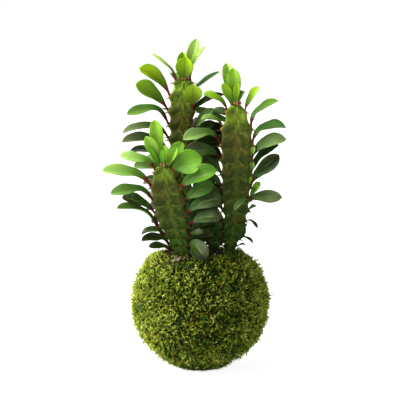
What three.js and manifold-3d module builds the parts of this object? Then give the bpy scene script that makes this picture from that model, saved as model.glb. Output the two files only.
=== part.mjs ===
// A kokedama: three young African milk trees rooted in a ball of clay soil, which is wrapped
// in a living moss mat tied on with thread. Millimetres, +Z up, and the viewer looks along +Y.
// The origin is the centre of the small flat spot that the ball rests on.
import * as THREE from 'three';
import { mergeVertices } from 'three/addons/utils/BufferGeometryUtils.js';
import Module from 'manifold-3d';

const wasm = await Module();
wasm.setup();

// Ball
const ballRise = 66.5; // height of the ball's centre above the resting spot
const soilRadius = 56.6;
const matRadius = 65.8; // moss mat in the hollows between its tufts
const tuftHeight = [1.6, 4.0]; // lowest and highest tuft above the mat
const tuftLean = 2.4;
const tuftDetail = 5; // subdivisions of the icosahedron that spreads the tufts evenly
const footRadius = 68.9; // the mat pressed smooth under the ball
const footAngle = 21; // degrees from the lowest point that stay smooth
const footFade = 38; // degrees at which the tufts have their full height
const crownRadius = 39.6; // soil showing at the crown
const crownEdge = 115.6; // height of the soil at its edge
const crownPeak = 117.6;
const touchGap = 0.35; // clearance between pieces that bear on each other
const ballSides = 24;
const ballSteps = 8;

// Thread
const threadRadius = 0.75; // half the diagonal of its square section
const threadCourse = 65.2; // radius of the circles that it runs in
const threadGroove = 0.5; // clearance under the thread, in a groove that opens outwards
const grooveReach = 6;
const threadTilt = 44; // degrees from level, which keeps it clear of crown and foot
const threadTurns = 3;
const threadStart = 23; // degrees that the first turn is swung round the ball
const threadSteps = 26;

// Grit grains on the crown: [x, y, radius]
const grit = [
  [-23.4, -28.8, 2.1], [-19.2, -30.8, 1.8], [-15.0, -33.0, 1.5], [-20.6, -27.6, 1.2],
  [-3.4, -35.0, 1.7], [6.5, -31.5, 1.4], [12.0, -22.0, 1.8], [3.0, 0.0, 1.9],
  [21.5, 22.0, 1.6], [4.0, 31.0, 1.8], [-31.0, 2.0, 1.5],
];
const grainSink = 0.45; // share of a grain's radius that lies under the soil

// Stems
const ribAngles = { left: 210, right: 330, back: 90 };
const flankTurn = 21; // degrees from a rib's edge to the point where its flank starts
const flankShare = 0.66; // radius there, as a share of the rib's
const faceShare = 0.46; // radius at the middle of a face
const flankDip = 0.26; // the dip of the flanks and the faces, as shares of the rib's
const faceDip = 0.04;
const crestDip = 0.33; // share of the dip that shows over the top shield
const crestDome = 1.2;
const collarDepth = 12; // the stem narrows below this depth under its second axis point
const holeGrow = 1.075; // a stem's hole in the soil, as a share of its section
const holeTop = 6; // height of the hole's cutter above the same point
const spineLength = 4.5;
const spineSink = 1.8; // how far a spine starts inside its rib
const spineDrop = 0.8; // and below its shield's middle
const spineRadius = 0.65;
const spineSpread = 34; // degrees between a spine and its rib, seen from above
const spineDroop = 9; // degrees that a spine points below level
const spineFloor = 124; // height under which spines would catch in the moss

// Leaves
const petioleRadius = 0.85;
const bladeThickness = 1.3;
const leafSink = 2.6; // how far a leaf starts inside its rib
const leafLift = 0.6; // and above its shield's middle
const tuftSpread = 2.9; // distance of the crest leaves from the stem axis
const tuftSink = 8; // how far they start under the crest
const bladeFold = 16; // degrees that each half rises from the midrib
// Stations along a leaf, from the end of its petiole: [share of its length, share of its width]
const leafOutline = [[0.2, 0], [0.37, 0.45], [0.56, 0.86], [0.75, 1.0], [0.92, 0.64]];

// Each stem: its axis as [x, y, z], its rib radius as [z, radius], its spine shields from the
// top one down, its dip, which is how far a rib's edge falls back between two shields, and its
// leaves. A leaf is
// [shield, across, rise, depth, width, turn, arch]: its tip lies across, depth and rise from
// its root, turn is how far its upper face leans from upright to the viewer, in degrees, and
// arch how far it bends. The leaves of a tuft grow from the crest and have no shield.
const stems = [
  {
    name: 'leafy_stem_front',
    axis: [[-17.4, -18.8, 86], [-18.4, -19.6, 117], [-21.4, -21.6, 133], [-26.2, -24, 150],
      [-30.6, -26, 172], [-35.6, -28, 201], [-36.4, -28, 208]],
    radius: [[86, 8.4], [117, 10.6], [128, 13.2], [138, 16.2], [148, 19], [160, 19.8], [173, 19.6],
      [187, 18.4], [196, 15.4], [202, 11.6], [208, 5.4]],
    shields: { count: 8, first: 202, last: 121, shrink: 0.5 },
    dip: 3.9,
    leaves: {
      left: [
        [0, -34, 16, -7, 13, 50, 32], [1, -47, 17, -12, 16, 54, 26], [2, -41, 9, -8, 17, 48, 38],
        [3, -33, 18, 4, 15, 40, 20], [5, -46, 30, -12, 12, 14, 42], [5, -24, 5, -5, 13, 34, 62],
        [6, -28, 6, -8, 13, 48, 34], [7, -24, 7, -4, 11, 44, 22],
      ],
      right: [
        [1, 36, 18, -16, 26, 58, 12], [2, 27, 16, -6, 21, 74, 10], [3, 35, 18, -12, 18, 60, 12],
        [4, 33, 12, -14, 17, 58, 12], [5, 14, 6, -10, 8, 54, 20], [6, 17, -10, -22, 19, 80, 26],
      ],
      back: [
        [0, -19, 11, 8, 14, 44, 20], [1, -24, 3, 6, 10, 40, 24], [2, -22, 3, 6, 9, 50, 20],
        [2, 19, 14, 8, 14, 10, 20], [4, -21, 8, 6, 11, 20, 20], [3, 30, 7, 6, 15, 60, 16],
        [5, 26, 7, 7, 17, 64, 16], [7, 22, 1, 6, 13, 60, 16],
      ],
    },
    tuft: [
      [-6, 52, 2, 14, 88, 3], [-14, 36, -6, 13, 74, 12], [-12, 26, -9, 7, 60, 20],
      [-1, 24, -6, 5, 80, 6], [37, 15, -14, 27, 84, 8], [11, 27, -9, 13, 72, 14],
      [16, 30, 5, 13, 62, 12], [-1, 27, 13, 11, 30, 18],
    ],
  },
  {
    name: 'leafy_stem_right',
    axis: [[27.4, 0, 86], [28.9, 0, 117], [30.6, 0.5, 127], [33.4, 1, 142], [35.4, 1.5, 160],
      [35.8, 2, 200], [36.3, 2, 240], [35.2, 2, 266]],
    radius: [[86, 7.6], [117, 9.2], [128, 10.8], [142, 13.2], [152, 15.2], [165, 17.6], [185, 18.8],
      [211, 19.8], [226, 20.4], [242, 19], [251, 16.2], [258.5, 12.8], [266.5, 5.4]],
    shields: { count: 12, first: 258.5, last: 124, shrink: 0.46 },
    dip: 4.2,
    leaves: {
      left: [
        [0, -24, 17, -3, 15, 38, 28], [1, -21, 10, -3, 12, 40, 40], [2, -39, 9, -15, 22, 52, 36],
        [3, -36, 9, -5, 17, 50, 26], [4, -25, 10, 2, 17, 60, 22], [6, -28, 11, 1, 17, 60, 22],
        [8, -27, 9, 2, 16, 60, 22], [10, -22, 6, 1, 15, 60, 22], [11, -18, 5, 2, 13, 60, 22],
        [11, -15, -2, -4, 13, 64, 26],
      ],
      right: [
        [0, 14, 24, -3, 11, 50, 14], [1, 26, 28, -5, 14, 34, 34], [2, 32, 19, -8, 17, 46, 34],
        [3, 33, 22, -6, 17, 50, 24], [4, 28, 28, 8, 15, 40, 16], [5, 28, 32, -4, 22, 80, 10],
        [6, 29, 2, -10, 18, 64, 12], [6, -13, -8, -17, 13, 50, 34], [5, 10, 4, 4, 9, 64, 10],
        [7, 11, 6, 2, 7, 50, 10], [8, 12, -7, -4, 5, 24, 30], [8, -5, -16, -12, 11, 60, 20],
        [10, 14, -3, -3, 4.5, 20, 30], [11, 8, 3, -3, 4.5, 20, 10],
      ],
      back: [
        [0, -10, 20, 16, 10, 60, 10], [0, 8, 20, 14, 9, 60, 10], [1, -24, 17, 20, 12, 24, 20],
        [1, -42, 18, 8, 11, 60, 12], [2, -33, 15, 24, 15, 50, 24], [3, -23, 22, 20, 13, 54, 24],
        [3, 21, 11, 22, 12, 44, 20], [4, 20, 8, 22, 11, 44, 20], [5, 19, 5, 22, 9, 60, 10],
        [4, -13, 9, 34, 18, 30, 26], [6, -11, 3, 30, 17, 30, 26], [7, 16, 5, 25, 15, 20, 24],
        [8, -10, 3, 25, 15, 30, 24], [9, 12, -1, 21, 12, 10, 24],
      ],
    },
    tuft: [
      [-7, 48, 3, 18, 84, 4], [-2, 43, -4, 15, 84, 4], [-11, 28, -8, 10, 66, 12],
      [1, 29, -8, 7.5, 70, 6],
    ],
  },
  {
    name: 'leafy_stem_rear',
    axis: [[-14.4, 17, 86], [-15.4, 18, 117], [-17.6, 20, 150], [-19.4, 21, 190], [-20, 21, 240],
      [-18.6, 21, 270], [-16.8, 21, 290]],
    radius: [[86, 8], [117, 10.4], [140, 13.2], [165, 15.6], [200, 16.2], [240, 15.6], [258, 16.8],
      [272.5, 16.4], [281, 14.4], [287.4, 11.6], [290.5, 6]],
    shields: { count: 14, first: 287.4, last: 123, shrink: 0.7 },
    dip: 5.2,
    leaves: {
      left: [
        [0, -24, 28, 0, 8, 14, 20], [1, -30, 29, -6, 18, 60, 28], [2, -33, 25, -4, 19, 60, 26],
        [3, -42, 12, -8, 15, 28, 50], [4, -47, 8, -3, 14, 40, 36], [5, -47, 11, -6, 17, 50, 30],
        [6, -40, 15, 2, 14, 36, 24], [7, -36, 12, -2, 16, 58, 24], [8, -28, 7, 6, 12, 40, 24],
        [9, -24, 6, 2, 12, 40, 24], [10, -27, 3, 6, 12, 36, 24], [11, -23, 2, 4, 11, 36, 24],
      ],
      right: [
        [0, 15, 35, 4, 8, 20, 20], [2, 2, 29, -16, 27, 86, 36], [2, 26, 40, 4, 9, 14, 36],
        [3, 32, 33, 6, 13, 26, 30], [4, 22, 31, 3, 11, 54, 10], [4, 32, 7, 7, 20, 70, 26],
        [5, 23, 31, 3, 16, 50, 26], [5, 31, 9, 9, 20, 70, 24], [7, 27, 13, 10, 20, 72, 24],
        [9, 35, 11, 10, 20, 76, 22], [11, 29, 9, 9, 20, 76, 22], [13, 37, 5, 9, 18, 76, 22],
      ],
      back: [
        [1, -12, 24, 24, 14, 20, 24], [2, 15, 20, 29, 16, 10, 26], [3, -17, 15, 33, 17, 10, 28],
        [4, 14, 14, 34, 17, 10, 28], [5, -15, 12, 35, 17, 10, 26], [6, 17, 10, 33, 17, 10, 26],
        [7, -15, 9, 31, 16, 10, 26], [8, 14, 8, 29, 15, 10, 26], [9, -13, 6, 26, 14, 10, 24],
        [12, -10, 3, 17, 10, 10, 22],
      ],
    },
    tuft: [
      [2, 30, -8, 20, 86, 4], [0, 35, -3, 16, 86, 4], [11, 48, 4, 12, 80, 6], [-4, 19, -6, 5, 50, 20],
    ],
  },
];

const mossMaterial = new THREE.MeshStandardMaterial({ color: 0x7f9a2e, roughness: 0.95 });
const soilMaterial = new THREE.MeshStandardMaterial({ color: 0x3a2a1c, roughness: 1.0 });
const threadMaterial = new THREE.MeshStandardMaterial({ color: 0x2f3a1e, roughness: 0.8 });
const plantMaterial = new THREE.MeshStandardMaterial({ color: 0x4f7a2c, roughness: 0.5 });

const radians = THREE.MathUtils.degToRad;

// An even number from 0 to 1 for a pair of whole numbers, the same at every run.
function scatter(i, k) {
  const wave = Math.sin(i * 12.9898 + k * 78.233) * 43758.5453;
  return wave - Math.floor(wave);
}

// Smooth curve through rows of [t, value]: its slope at a row is that between its neighbours.
function smoothAt(rows, t) {
  const last = rows.length - 1;
  let i = 0;
  while (i < last - 1 && t > rows[i + 1][0]) i += 1;
  const slopeAt = (k) => {
    const from = rows[Math.max(k - 1, 0)];
    const to = rows[Math.min(k + 1, last)];
    return (to[1] - from[1]) / (to[0] - from[0]);
  };
  const span = rows[i + 1][0] - rows[i][0];
  const u = Math.min(Math.max((t - rows[i][0]) / span, 0), 1);
  const startWeight = (1 + 2 * u) * (1 - u) ** 2;
  const endWeight = u * u * (3 - 2 * u);
  const bend = u * (1 - u) * span;
  return startWeight * rows[i][1] + endWeight * rows[i + 1][1]
    + bend * ((1 - u) * slopeAt(i) - u * slopeAt(i + 1));
}

function solidOf(geometry) {
  const bare = geometry.clone();
  bare.deleteAttribute('normal');
  bare.deleteAttribute('uv');
  const merged = mergeVertices(bare, 1e-4);
  return new wasm.Manifold(new wasm.Mesh({
    numProp: 3,
    vertProperties: merged.attributes.position.array,
    triVerts: new Uint32Array(merged.index.array),
  }));
}

function meshOf(name, solid, material) {
  const { vertProperties, triVerts } = solid.getMesh();
  const geometry = new THREE.BufferGeometry();
  geometry.setAttribute('position', new THREE.BufferAttribute(vertProperties, 3));
  geometry.setIndex(new THREE.BufferAttribute(triVerts, 1));
  geometry.computeVertexNormals();
  const mesh = new THREE.Mesh(geometry, material);
  mesh.name = name;
  return mesh;
}

// A closed geometry from triangles that are given as triples of Vector3.
function trianglesGeometry(triangles) {
  const geometry = new THREE.BufferGeometry();
  geometry.setFromPoints(triangles.flat());
  return geometry;
}

// A closed loft through rings of points that run the same way round, seen against its
// direction. The first ring is closed flat and the last one to a point.
function loft(rings, tip) {
  const triangles = [];
  const first = rings[0];
  for (let i = 2; i < first.length; i += 1) triangles.push([first[0], first[i], first[i - 1]]);
  for (let r = 1; r < rings.length; r += 1) {
    const low = rings[r - 1];
    const high = rings[r];
    low.forEach((point, i) => {
      const next = (i + 1) % low.length;
      // Even corners are a blade's edges, and both faces split from the same one.
      if (i % 2 === 0) triangles.push([point, low[next], high[next]], [point, high[next], high[i]]);
      else triangles.push([point, low[next], high[i]], [low[next], high[next], high[i]]);
    });
  }
  const end = rings[rings.length - 1];
  end.forEach((point, i) => triangles.push([point, end[(i + 1) % end.length], tip]));
  return trianglesGeometry(triangles);
}

// The moss mat: an even net of low tufts, pressed smooth where the ball rests.
function mossRelief() {
  const net = new THREE.IcosahedronGeometry(1, tuftDetail).attributes.position;
  const down = new THREE.Vector3(0, 0, -1);
  const smoothness = (direction) => THREE.MathUtils.smoothstep(
    direction.dot(down), Math.cos(radians(footFade)), Math.cos(radians(footAngle)));
  const hollow = (direction) => direction.clone().multiplyScalar(
    THREE.MathUtils.lerp(matRadius, footRadius, smoothness(direction)));
  const triangles = [];
  for (let i = 0; i < net.count; i += 3) {
    const corners = [0, 1, 2].map((k) => new THREE.Vector3().fromBufferAttribute(net, i + k));
    const middle = corners[0].clone().add(corners[1]).add(corners[2]).normalize();
    const rest = 1 - smoothness(middle);
    const height = THREE.MathUtils.lerp(...tuftHeight, scatter(i, 1)) * rest;
    const lean = new THREE.Vector3(scatter(i, 2) - 0.5, scatter(i, 3) - 0.5, scatter(i, 4) - 0.5)
      .multiplyScalar(2 * tuftLean * rest);
    const top = hollow(middle).setLength(hollow(middle).length() + height).add(lean);
    corners.map(hollow).forEach((corner, k, ring) => triangles.push([corner, ring[(k + 1) % 3], top]));
  }
  return solidOf(trianglesGeometry(triangles).translate(0, 0, ballRise));
}

// The soil ball with the plug that fills the crown, grown by a clearance. Where it cuts the
// mat its plug runs on upwards to a given height.
function soilForm(grow, runOn) {
  const radius = soilRadius + grow;
  const plug = crownRadius + grow;
  const neckAngle = Math.asin(plug / radius);
  const profile = [];
  for (let i = 0; i <= ballSteps; i += 1) {
    const angle = Math.PI - ((Math.PI - neckAngle) * i) / ballSteps;
    profile.push(new THREE.Vector2(radius * Math.sin(angle), ballRise + radius * Math.cos(angle)));
  }
  profile[0].x = 0;
  profile.push(new THREE.Vector2(plug, runOn ?? crownEdge));
  profile.push(new THREE.Vector2(0, runOn ?? crownPeak));
  return solidOf(new THREE.LatheGeometry(profile, ballSides).rotateX(Math.PI / 2));
}

function threadLoops(course, radius) {
  const loops = [];
  for (let i = 0; i < threadTurns; i += 1) {
    const loop = new THREE.TorusGeometry(course, radius, 4, threadSteps);
    loop.rotateX(radians(threadTilt));
    loop.rotateZ(radians(threadStart + (360 * i) / threadTurns));
    loops.push(solidOf(loop.translate(0, 0, ballRise)));
  }
  return loops.reduce((joined, loop) => joined.add(loop));
}

function soilHeight(x, y) {
  return THREE.MathUtils.lerp(crownPeak, crownEdge, Math.hypot(x, y) / crownRadius);
}

function grains() {
  return grit.map(([x, y, radius], i) => {
    const grain = new THREE.IcosahedronGeometry(radius, 0);
    grain.rotateX(scatter(i, 5) * 3).rotateZ(scatter(i, 6) * 3);
    return solidOf(grain.translate(x, y, soilHeight(x, y) + radius * (1 - grainSink)));
  });
}

function axisAt(stem, z) {
  return new THREE.Vector3(
    smoothAt(stem.axis.map((point) => [point[2], point[0]]), z),
    smoothAt(stem.axis.map((point) => [point[2], point[1]]), z),
    z);
}

// Heights of the spine shields, whose spacing shrinks evenly towards the stem's foot.
function shieldHeights({ count, first, last, shrink }) {
  const gaps = count - 1;
  const widest = (2 * (first - last)) / (gaps * (1 + shrink));
  const heights = [first];
  for (let i = 0; i < gaps; i += 1) {
    heights.push(heights[i] - widest * THREE.MathUtils.lerp(1, shrink, i / (gaps - 1)));
  }
  return heights;
}

// A level vector of the given length at an angle in degrees from +X.
function outward(angle, reach) {
  return new THREE.Vector3(Math.cos(radians(angle)) * reach, Math.sin(radians(angle)) * reach, 0);
}

// One level of a three-ribbed stem: rib edge, flank, middle of the face, flank, three times.
function ribbedRing(stem, z, dip, grow) {
  const centre = axisAt(stem, z);
  const radius = smoothAt(stem.radius, z) * grow;
  const ring = [];
  for (let rib = 0; rib < 3; rib += 1) {
    const angle = ribAngles.back + 120 * rib;
    const corners = [[0, 1, 1], [flankTurn, flankShare, flankDip], [60, faceShare, faceDip],
      [120 - flankTurn, flankShare, flankDip]];
    corners.forEach(([turn, share, dipShare]) => {
      ring.push(outward(angle + turn, radius * share - dip * dipShare).add(centre));
    });
  }
  return ring;
}

function stemBody(stem) {
  const heights = shieldHeights(stem.shields);
  const levels = [[stem.axis[0][2], 0], [stem.axis[1][2] - collarDepth, 0]];
  heights.slice().reverse().forEach((height, i, rising) => {
    const dip = height < spineFloor ? 0 : stem.dip;
    if (i > 0) levels.push([(height + rising[i - 1]) / 2, dip]);
    levels.push([height, 0]);
  });
  const top = stem.radius[stem.radius.length - 1][0];
  levels.push([(heights[0] + top) / 2, stem.dip * crestDip], [top, 0]);
  const rings = levels.map(([z, dip]) => ribbedRing(stem, z, dip, 1));
  return solidOf(loft(rings, axisAt(stem, top).add(new THREE.Vector3(0, 0, crestDome))));
}

// The plain hole that a stem's foot stands in.
function stemHole(stem) {
  const bottom = stem.axis[0][2];
  const levels = [bottom, stem.axis[1][2] - collarDepth, stem.axis[1][2] + holeTop];
  const rings = levels.map((z) => ribbedRing(stem, z, 0, holeGrow));
  rings[0].forEach((point) => { point.z -= touchGap; });
  return solidOf(loft(rings, axisAt(stem, levels[2]).add(new THREE.Vector3(0, 0, crestDome))));
}

// A leaf on one bent arc: petiole, blade folded along its midrib, pointed tip.
function leaf(root, [across, rise, depth, width, turn, arch]) {
  const chord = new THREE.Vector3(across, depth, rise);
  const flat = Math.hypot(across, depth);
  const heading = new THREE.Vector3(across / flat, depth / flat, 0);
  const bend = radians(arch);
  const start = Math.atan2(rise, flat) + bend;
  const arcRadius = chord.length() / (2 * Math.sin(bend));
  const facing = new THREE.Vector3(0, -Math.sin(radians(turn)), Math.cos(radians(turn)));
  const fold = radians(bladeFold);
  const frameAt = (share) => {
    const slope = start - 2 * bend * share;
    const point = heading.clone().multiplyScalar(arcRadius * (Math.sin(start) - Math.sin(slope)));
    point.z = arcRadius * (Math.cos(slope) - Math.cos(start));
    const along = heading.clone().multiplyScalar(Math.cos(slope)).setZ(Math.sin(slope));
    const side = along.clone().cross(facing).normalize();
    return { point: point.add(root), side, face: side.clone().cross(along) };
  };
  const ringAt = (share, half, lift, thickness) => {
    const { point, side, face } = frameAt(share);
    const edge = (sign) => point.clone()
      .addScaledVector(side, sign * half * Math.cos(lift)).addScaledVector(face, half * Math.sin(lift));
    return [
      edge(-1), point.clone().addScaledVector(face, thickness / 2),
      edge(1), point.clone().addScaledVector(face, -thickness / 2),
    ];
  };
  const petiole = [0, leafOutline[0][0]].map((share) => ringAt(share, petioleRadius, 0, petioleRadius * 2));
  const blade = leafOutline.slice(1).map(
    ([share, wide]) => ringAt(share, (wide * width) / 2, fold, bladeThickness));
  return solidOf(loft([...petiole, ...blade], frameAt(1).point));
}

function ribPoint(stem, rib, z, sink) {
  return axisAt(stem, z).add(outward(ribAngles[rib], smoothAt(stem.radius, z) - sink));
}

// A pair of three-sided spines on every other shield of a rib, above the moss.
function spines(stem, rib) {
  const armed = shieldHeights(stem.shields).filter((z, i) => i % 2 === 0 && z > spineFloor);
  return armed.flatMap((z) => [-1, 1].map((sign) => {
    const angle = radians(ribAngles[rib] + sign * spineSpread);
    const spine = new THREE.ConeGeometry(spineRadius, spineLength + spineSink, 3);
    spine.translate(0, (spineLength + spineSink) / 2, 0);
    spine.rotateZ(-Math.PI / 2).rotateY(radians(spineDroop)).rotateZ(angle);
    const root = ribPoint(stem, rib, z - spineDrop, spineSink);
    return solidOf(spine.translate(root.x, root.y, root.z));
  }));
}

function leafyStem(stem) {
  const heights = shieldHeights(stem.shields);
  const growths = [];
  Object.entries(stem.leaves).forEach(([rib, rows]) => {
    rows.forEach(([shield, ...shape]) => growths.push(
      leaf(ribPoint(stem, rib, heights[shield] + leafLift, leafSink), shape)));
    growths.push(...spines(stem, rib));
  });
  const top = stem.radius[stem.radius.length - 1][0];
  const crest = axisAt(stem, top - tuftSink);
  stem.tuft.forEach((shape) => {
    const [across, , depth] = shape;
    const start = new THREE.Vector3(across, depth, 0).setLength(tuftSpread).add(crest);
    growths.push(leaf(start, shape));
  });
  const grown = growths.reduce((joined, growth) => joined.add(growth), stemBody(stem));
  // Where roots crowd together they can seal a tiny hollow, which is a body of its own here.
  // Keeping only the largest body fills it.
  return grown.decompose().reduce((most, body) => (body.volume() > most.volume() ? body : most));
}

const floor = solidOf(new THREE.BoxGeometry(ballRise, ballRise, ballRise).translate(0, 0, -ballRise / 2));
const moss = mossRelief()
  .subtract(soilForm(touchGap, 3 * ballRise))
  .subtract(threadLoops(threadCourse + grooveReach, threadRadius + threadGroove + grooveReach))
  .subtract(floor);
const holes = stems.map(stemHole).reduce((joined, hole) => joined.add(hole));
const soil = grains().reduce((joined, grain) => joined.add(grain), soilForm(0).subtract(holes));

const kokedama = new THREE.Group();
kokedama.add(
  meshOf('moss_cover', moss, mossMaterial),
  meshOf('soil_ball', soil, soilMaterial),
  meshOf('binding_thread', threadLoops(threadCourse, threadRadius), threadMaterial),
  ...stems.map((stem) => meshOf(stem.name, leafyStem(stem), plantMaterial)),
);

export default kokedama;
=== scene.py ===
"""A kokedama: three young African milk trees rooted in a ball of soil wrapped in living moss."""
from math import atan2, cos, hypot, pi, radians, sin

import bpy
import numpy as np
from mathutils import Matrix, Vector, noise


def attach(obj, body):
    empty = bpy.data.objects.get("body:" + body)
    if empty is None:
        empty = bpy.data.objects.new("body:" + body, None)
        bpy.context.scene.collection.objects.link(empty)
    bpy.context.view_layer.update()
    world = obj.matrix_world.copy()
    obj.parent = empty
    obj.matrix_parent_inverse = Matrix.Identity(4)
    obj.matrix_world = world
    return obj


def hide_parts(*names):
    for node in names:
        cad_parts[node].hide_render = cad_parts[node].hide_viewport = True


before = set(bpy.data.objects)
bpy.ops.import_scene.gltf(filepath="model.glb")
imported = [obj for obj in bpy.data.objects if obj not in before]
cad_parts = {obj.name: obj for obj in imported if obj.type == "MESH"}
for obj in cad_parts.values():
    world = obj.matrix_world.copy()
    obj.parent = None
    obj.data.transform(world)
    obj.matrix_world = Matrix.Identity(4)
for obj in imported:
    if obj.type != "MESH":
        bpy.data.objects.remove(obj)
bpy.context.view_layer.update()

MM = 0.001  # lengths are in millimetres, and are multiplied by this where a mesh is made

# Camera
LOOK_AT = Vector((7.8, 0.0, 162.5))
CAMERA_DISTANCE = 1250
CAMERA_RISE = 7  # degrees above the horizon
PHOTO_WIDTH = 416  # in pixels, each of them a millimetre at LOOK_AT
SENSOR_WIDTH = 36

# Studio
ROOM_LIGHT = 0.47  # light of the white room round the object, against 1 for its backdrop
ROOM_GLOSS = 0.3  # the room as it shows in waxy leaves
FLOOR_GLOW = 0.9  # the floor is a light table, which keeps shadows pale
FLOOR_RADIUS = 9000
# A far, soft light: the way it shines, how wide it looks in degrees, its power and its colour
LIGHTS = {"key_softbox": ((0.85, 0.05, -0.52), 60, 10.5, (1.0, 0.97, 0.9)),
          "rim_softbox": ((-0.85, -0.5, -0.2), 50, 0.6, (1.0, 1.0, 1.0))}

# Ball
BALL_RISE = 66.5
MAT_RADIUS = 65.0
MAT_THICKNESS = 7.6
MAT_RELIEF = 1.3
CLUMP = 10  # width of a clump of moss
FOOT_RADIUS = 68.4  # the moss pressed smooth under the ball
FOOT_ANGLE = 21  # degrees from the lowest point that are pressed flat
FOOT_FADE = 40
MAT_FLOOR = 0.02  # height of the mat's underside over the floor
CROWN_RADIUS = 41.5  # opening in the moss at the crown
SOIL_EDGE = 115.6
SOIL_PEAK = 117.6
SOIL_RADIUS = 39.6

# Moss shoots
SHOOT_HEIGHT = 4.9
SHOOT_BEND = 0.09
SHOOT_LEAFLETS = 7
LEAF_TURN = 137  # degrees that each leaflet is swung on from the last
SHOOT_LEAN = 1.15  # sideways part of a shoot's direction, against its part outwards
SHOOT_SINK = 0.8
SHOOT_SCATTER = 0.03  # unevenness of the shoots' places, as a share of the ball's radius
SHOOT_FLOOR = 0.03
SHOOT_SPARE = 1.07  # places looked at for each shoot, because some are bare
RIM_RADIUS = 37  # the moss creeps over the soil as far in as this
RIM_CREEP = 7  # and further in on the right
STEM_CLEARANCE = 11  # distance from a stem's axis that stays bare
GRIT_GAP = (-22.5, -36.0, 6.0)  # x, y and radius of the bare spot round the pale grit
# A tone of shoots: how many at most, how far they rise from the mat, their size, and the colours
# of their roots, leaflets, tips and patches. Where each tone grows is partly painted light and
# shade, set in moss_order.
SHOOTS = {"deep": (5400, -0.6, 0.84, "#131b06", "#304612", "#5c7c26", "#34562a"),
          "brown": (2600, -0.1, 0.9, "#1f1a07", "#655c1c", "#a89b3c", "#6e4f1a"),
          "green": (6000, 0.4, 1.02, "#1e2808", "#617c20", "#a2ba40", "#4c7c38"),
          "fresh": (6000, 0.9, 1.14, "#29310a", "#8ba12a", "#d6e276", "#918f22")}

# Thread
THREAD_RADIUS = 0.6
THREAD_COURSE = 65.2
THREAD_TILT = 44
THREAD_TURNS = 3
THREAD_START = 23
THREAD_PITCH = 2.4
PLY_DEPTH = 0.22  # half the depth of the groove between the plies, as a share of THREAD_RADIUS

# Grains of pale grit at the foot of the front stem: (x, y, radius)
GRIT = [(-23.4, -28.8, 2.1), (-19.2, -30.8, 1.8), (-15.0, -33.0, 1.5), (-20.6, -27.6, 1.2),
        (-24.6, -36.4, 1.9), (-21.0, -37.6, 1.7), (-27.4, -35.4, 1.4), (-23.2, -33.6, 1.5)]
GRAIN_SINK = 0.45
GRAIN_GROWTH = 1.12  # the first four cover the soil ball's own
CRUMBS = 420
CRUMB_RADIUS = (0.7, 2.0)
CRUMB_LIFT = 0.2  # share of a crumb's radius that its middle lies above the soil
LUMP_UNEVENNESS = 0.35

# Stems
RIB_ANGLES = {"left": 210, "right": 330, "back": 90}
# A rib's section: (degrees from its edge, share of the rib's radius)
RIB_SECTION = [(-7, 0.925), (0, 1.0), (7, 0.925), (21, 0.67), (38, 0.53), (60, 0.47), (82, 0.53)]
STEM_RINGS = 190
STEM_SIDES = 96
CREST_DIP = 0.3  # share of the dip that shows over the top shield
CREST_DOME = 1.4
FACE_DROP = 0.4  # how many shields lower the swelling runs at the middle of a face
SWELL_HEIGHT = 1.05
SKIN_RELIEF = 0.35
SPINE_LENGTH = 4.3
SPINE_SINK = 1.2
SPINE_DROP = 0.8
SPINE_RADIUS = 0.5
SPINE_SPREAD = 34
SPINE_DROOP = 9
SPINE_FLOOR = 121  # no spines lower
BUDS = 9
BUD_RING = 4.4

# Leaves
LEAF_WIDTH = 16  # of the leaf that the others are copies of
LEAF_SIDES = 16
LEAF_STATIONS = 26
LEAF_SINK = 2.6
LEAF_LIFT = 0.6
TUFT_SPREAD = 2.9
TUFT_SINK = 8
PETIOLE_SHARE = 0.15
PETIOLE_SUNK = 0.17  # share of a wide leaf that is inside its stem where it faces the viewer
PETIOLE_RADIUS = 1.1
PETIOLE_GROWTH = 0.85  # a petiole's radius goes with its leaf's reach to this power
USUAL_REACH = 38
LONG_REACH = (55, 70)  # a leaf that reaches so far has a very long petiole
ROOT_TAPER = 0.55  # how much of its radius such a petiole loses at its root
BLADE_THICKNESS = 0.85
BLADE_FOLD = 24
BEND_SHARE = 0.28  # where along its length a leaf bends most
BEND_REACH = 0.24  # and how far the bend runs to each side of that
LONG_BEND = 0.35  # further out by this on a very long petiole
ARCHED_BEND = 0.26  # and by this on a leaf that bends by all the degrees of ARCHED
ARCHED = (34, 42)
LEAF_TWIST = 50
LEAF_SWAY = 0.1
PATH_STEPS = 41
# Along a leaf: (share of its length, share of its width)
LEAF_OUTLINE = [(0.0, 0.16), (0.07, 0.13), (0.14, 0.15), (0.22, 0.27), (0.32, 0.45), (0.43, 0.65),
                (0.54, 0.83), (0.64, 0.96), (0.73, 1.0), (0.82, 0.94), (0.9, 0.77), (0.96, 0.5),
                (1.0, 0.07)]
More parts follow.
